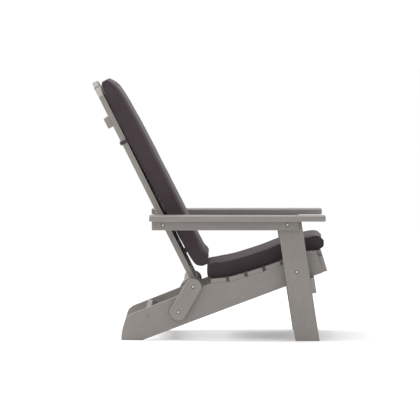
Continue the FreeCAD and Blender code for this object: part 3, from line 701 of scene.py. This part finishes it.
# %% Stuffing by cloth simulation
def stuffed(piece, pinned, cap_of):
    """Blows the piece up with its seams held. cap_of gives the most that a point may move."""
    group = piece.vertex_groups.new(name="seams")
    group.add(pinned, 1.0, "REPLACE")
    cloth = piece.modifiers.new("stuffing", "CLOTH")
    rules = cloth.settings
    rules.use_pressure = True
    rules.uniform_pressure_force = PRESSURE
    rules.effector_weights.gravity = 0
    rules.mass = 0.3
    rules.tension_stiffness = 4
    rules.compression_stiffness = 4
    rules.shear_stiffness = 2
    rules.bending_stiffness = 0.1
    rules.vertex_group_mass = "seams"
    cloth.collision_settings.use_collision = False
    cloth.point_cache.frame_start = 1
    cloth.point_cache.frame_end = CLOTH_STEPS
    start = [(v.co.copy(), v.normal.copy()) for v in piece.data.vertices]
    scene = bpy.context.scene
    for step in range(1, CLOTH_STEPS + 1):
        scene.frame_set(step)
    bake(piece)
    scene.frame_set(1)
    most = 0.0
    for vert, (place, normal) in zip(piece.data.vertices, start):
        shift = vert.co - place
        cap = cap_of(place, normal)
        if shift.length > 0:
            shift *= cap * (1 - math.exp(-shift.length / cap)) / shift.length
        vert.co = place + shift
        most = max(most, shift.length)
    print(piece.name, "swelled by up to %.1f mm" % (most / MM))


# %% [markdown]
# Where the side band meets a panel, the seam allowance makes a low ridge. It follows the outline of the
# block's side, which is put in order, spaced evenly and softened, and is then dropped onto the swollen
# cover. A curve with a round bevel makes such a ridge in one step, and becomes a mesh here.

# %% Seams as raised ridges
RIDGE_THICK = 1.5 * MM
RIDGE_STEP = 6 * MM
ON_SIDE = 0.2 * MM


def side_loops(bm, half):
    """The block's outline on each side, as closed lists of points in order."""
    loops = []
    for sign in (-1, 1):
        rim = [e for e in bm.edges if all(abs(v.co.y - sign * half) < ON_SIDE for v in e.verts)
               and fold(e) > SEAM_FOLD]
        left = set(rim)
        edge = left.pop()
        first, here = edge.verts
        points = [first.co.copy()]
        while here != first:
            points.append(here.co.copy())
            following = [e for e in here.link_edges if e in left]
            if not following:
                break
            left.remove(following[0])
            here = following[0].other_vert(here)
        loops.append(points)
    return loops


def resampled(points, step):
    made = []
    for a, b in zip(points, points[1:] + points[:1]):
        count = max(1, round((b - a).length / step))
        made += [a.lerp(b, i / count) for i in range(count)]
    return made


def softened(points, passes):
    for _ in range(passes):
        points = [(points[i - 1] + points[i] * 2 + points[(i + 1) % len(points)]) / 4
                  for i in range(len(points))]
    return points


def ridge(name, points, surface, material):
    """A thin round ridge that lies on a surface along a closed line."""
    line = bpy.data.curves.new(name + "_line", "CURVE")
    line.dimensions = "3D"
    line.bevel_depth = RIDGE_THICK
    line.bevel_resolution = 2
    run = line.splines.new("POLY")
    run.points.add(len(points) - 1)
    for spot, point in zip(run.points, points):
        on = surface.closest_point_on_mesh(point)[1]
        spot.co = (*on, 1)
    run.use_cyclic_u = True
    holder = bpy.data.objects.new(name + "_line", line)
    bpy.context.scene.collection.objects.link(holder)
    seen = holder.evaluated_get(bpy.context.evaluated_depsgraph_get())
    mesh = bpy.data.meshes.new_from_object(seen)
    bpy.data.objects.remove(holder)
    made = bpy.data.objects.new(name, mesh)
    bpy.context.scene.collection.objects.link(made)
    for polygon in mesh.polygons:
        polygon.use_smooth = True
    mesh.materials.clear()
    mesh.materials.append(material)
    return made


print("ridges are", 2 * RIDGE_THICK / MM, "mm thick")

# %% [markdown]
# One function takes a cushion through all its steps. After the stuffing, a Subdivision Surface rounds
# the quads off, and a Displace modifier adds the low, slow folds that a filled cover always has.

# %% A cushion from its block
FOLD_WIDE, FOLD_HIGH = 0.055, 1.6 * MM


def cushion(node, body, centre, up, halves, reaches, reshape, cap_of, rounding, pin_seams):
    """Turns a CAD block into a stuffed cushion with a ridge round each side."""
    bm = merged_copy(node)
    moved = corners_out(centre, ((0, 1, 0), up), halves, reaches)
    seams = [reshape(moved(p)) for p in seam_line(bm)]
    outlines = side_loops(bm, halves[0])
    piece = piece_from(bm, node + "_stuffed")
    remeshed(piece)
    for vert in piece.data.vertices:
        vert.co = reshape(moved(vert.co.copy()))
    tree = kdtree.KDTree(len(seams))
    for i, point in enumerate(seams):
        tree.insert(point, i)
    tree.balance()
    pinned = [v.index for v in piece.data.vertices if pin_seams and tree.find(v.co)[2] < SEAM_REACH]
    held = set(pinned)
    bm = bmesh.new()
    bm.from_mesh(piece.data)
    bm.verts.ensure_lookup_table()
    free = [v for v in bm.verts if v.index not in held]
    eased(bm, bm.verts[:], 2)
    eased(bm, free, rounding)
    bm.to_mesh(piece.data)
    bm.free()
    stuffed(piece, pinned, cap_of)
    finer = piece.modifiers.new("finer", "SUBSURF")
    finer.levels = finer.render_levels = 1
    folds = bpy.data.textures.new(node + "_folds", "CLOUDS")
    folds.noise_scale = FOLD_WIDE
    folds.noise_depth = 2
    wrinkle = piece.modifiers.new("folds", "DISPLACE")
    wrinkle.texture = folds
    wrinkle.texture_coords = "LOCAL"
    wrinkle.strength = FOLD_HIGH
    wrinkle.mid_level = 0.5
    bake(piece)
    for polygon in piece.data.polygons:
        polygon.use_smooth = True
    piece.data.materials.clear()
    piece.data.materials.append(cushion_cloth)
    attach(piece, body)
    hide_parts(node)
    bpy.context.view_layer.update()
    for word, outline in zip(("right", "left"), outlines):
        path = softened(resampled(outline, RIDGE_STEP), 4)
        path = [reshape(moved(p)) for p in path]
        seam = ridge("%s_seam_%s" % (node, word), path, piece, cushion_cloth)
        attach(seam, body)
    print(piece.name, len(piece.data.polygons), "faces,", len(pinned), "points on its seams")


# %% [markdown]
# The seat cushion is firm and square. Its seams are pinned, so the crown rises between them, and its
# rear end is drawn back a little to meet the back cushion. Its underside hardly moves.

# %% The seat cushion
low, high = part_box("seat_cushion")
SEAT_CROWN = 8 * MM
REAR_ROOM, REAR_REACH = 8 * MM, 60 * MM
SEAT_EARS = (34 * MM, 20 * MM)         # how far from a corner its ear begins, in front and behind


def seat_cap(place, normal):
    return 0.3 * MM if normal.z < RESTING else SEAT_CROWN


def pushed_back(point):
    """Fills the rear end out to where the real cushion ends."""
    near_rear = max(0.0, 1 - (point.x - low.x) / REAR_REACH)
    return point - Vector((REAR_ROOM * near_rear, 0, 0))


cushion("seat_cushion", "seat_frame", (low + high) / 2, (1, 0, 0), (high.y, (high.x - low.x) / 2),
        SEAT_EARS, pushed_back, seat_cap, 6, pin_seams=True)

# %% [markdown]
# The back cushion is softer, and its cover is slack, so no seam is pinned and the whole front swells.
# The block is first drawn back from the front and down from the top, and the filling then brings it out
# to its real size. Its foot is left full, because there the filling settles.

# %% The back cushion
up_back = Vector((-math.sin(rad(BACK_LEAN)), 0, math.cos(rad(BACK_LEAN))))
ahead = Vector((math.cos(rad(BACK_LEAN)), 0, math.sin(rad(BACK_LEAN))))
corners = [v.co - link_head for v in nodes["back_cushion"].data.vertices]
heights = [c.dot(up_back) for c in corners]
depths = [c.dot(ahead) for c in corners]
back_centre = link_head + up_back * (min(heights) + max(heights)) / 2
back_centre.y = 0
BACK_CROWN = 8 * MM
SLAT_FRONT = min(depths)
FOOT, FOOT_FADE = min(heights) + 28 * MM, 30 * MM
FOOT_FULLNESS = -0.4          # the foot is pushed forward by this share of what the front gives up
FRONT_SHRINK = 0.82
TOP_FALL, TOP_REACH = 9 * MM, 120 * MM
BACK_EARS = (80 * MM, 25 * MM)         # the same at the top and at the foot


def pressed_back(point):
    """Leaves room in front and above for the filling to swell, except at the foot."""
    away = point - link_head
    up = away.dot(up_back)
    share = min(1.0, max(FOOT_FULLNESS, (up - FOOT) / FOOT_FADE))
    depth = away.dot(ahead) - SLAT_FRONT
    fall = TOP_FALL * max(0.0, 1 - (max(heights) - up) / TOP_REACH)
    return point - ahead * depth * (1 - FRONT_SHRINK) * share - up_back * fall


def back_cap(place, normal):
    return 0.5 * MM if normal.dot(ahead) < RESTING else BACK_CROWN


cushion("back_cushion", "back", back_centre, up_back,
        (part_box("back_cushion")[1].y, (max(heights) - min(heights)) / 2), BACK_EARS,
        pressed_back, back_cap, 4, pin_seams=False)

# %% [markdown]
# A short folded tape is sewn into the rear seam of the back cushion, low on the chair's right. It is
# plain, and a cube with its outer edges rounded is all that it needs.

# %% The sewn-in tape
TAPE_UP, TAPE_THICK, TAPE_OUT, TAPE_IN = 20 * MM, 2.4 * MM, 8 * MM, 4 * MM
TAPE_HEIGHT, SEAM_DEPTH = 129 * MM, SLAT_FRONT + 18.5 * MM
bm = bmesh.new()
bmesh.ops.create_cube(bm, size=1)
bmesh.ops.scale(bm, verts=bm.verts, vec=(TAPE_OUT + TAPE_IN, TAPE_THICK, TAPE_UP))
outer = [e for e in bm.edges if all(v.co.x < 0 for v in e.verts)]
rounded(bm, outer, 1 * MM, 3)
along = Matrix((ahead, (0, 1, 0), up_back)).transposed().to_4x4()
sewn_at = link_head + up_back * TAPE_HEIGHT + ahead * (SEAM_DEPTH + (TAPE_IN - TAPE_OUT) / 2)
sewn_at.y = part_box("back_cushion")[0].y + 14 * MM
bm.transform(Matrix.Translation(sewn_at) @ along)
tape = smooth(piece_from(bm, "back_cushion_tape"))
tape.data.materials.append(strap_web)
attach(tape, "back")
print("tape stands out by", TAPE_OUT / MM, "mm")

# %% [markdown]
# The floor is pale and plain. The surround is bright and even, and lights the sides. One large soft box
# overhead makes the tops of the boards paler than their faces, and one behind the chair lights the
# rear slopes. Large lamps give the soft shadows of a studio.

# %% Floor and light
FLOOR_HALF = 90
bm = bmesh.new()
bmesh.ops.create_grid(bm, x_segments=1, y_segments=1, size=FLOOR_HALF)
floor = piece_from(bm, "studio_floor")
made, tree, shader = node_tree("pale_floor")
tree.links.new(blend_colour(tree, noise(tree, mapped(tree), 3, 2), colour(0.96, 0.96, 0.96),
                            colour(0.98, 0.98, 0.98)), shader.inputs["Base Color"])
shader.inputs["Roughness"].default_value = 0.8
shader.inputs["Specular IOR Level"].default_value = 0.1
floor.data.materials.append(made)
floor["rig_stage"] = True

scene = bpy.context.scene
surround = bpy.data.worlds.new("surround")
scene.world = surround
surround.use_nodes = True
surround.node_tree.nodes["Background"].inputs["Color"].default_value = colour(1, 1, 1)
surround.node_tree.nodes["Background"].inputs["Strength"].default_value = 1.04
scene.view_settings.view_transform = "Standard"


def soft_box(name, place, aim, wide, power):
    lamp = bpy.data.lights.new(name, "AREA")
    lamp.shape = "SQUARE"
    lamp.size = wide
    lamp.energy = power
    made = bpy.data.objects.new(name, lamp)
    scene.collection.objects.link(made)
    made.location = place
    made.rotation_mode = "QUATERNION"
    made.rotation_quaternion = (Vector(aim) - Vector(place)).to_track_quat("-Z", "Y")


soft_box("overhead_box", place=(-0.4, 0.2, 3.2), aim=(0, 0, 0.4), wide=2.6, power=30)
soft_box("rear_box", place=(-2.8, 0.2, 2.2), aim=(0, 0, 0.5), wide=1.8, power=95)
print("floor and", len(bpy.data.lights), "soft boxes placed")

# %% [markdown]
# The camera stands far off and to the chair's right, a little above it, with a long lens, so the near
# and far sides almost cover each other.

# %% Camera
eye = bpy.data.cameras.new("side_camera")
eye.sensor_width = 36
eye.lens = 398.1
eye.clip_end = 200
camera = bpy.data.objects.new("side_camera", eye)
scene.collection.objects.link(camera)
camera.location = (0.031, -17.09, 1.173)
camera.rotation_euler = (rad(90 - 2.382), 0, rad(0.0925))
scene.camera = camera
print("camera", round(camera.location.length, 2), "m away")

# %% [markdown]
# At the end the finished chair is measured again, and its box is printed so that its size can be
# compared with the CAD model's.

# %% Measure the size and finish
bpy.context.view_layer.update()
low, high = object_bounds()
print("visual box", [round(v, 4) for v in (*low, *high)])
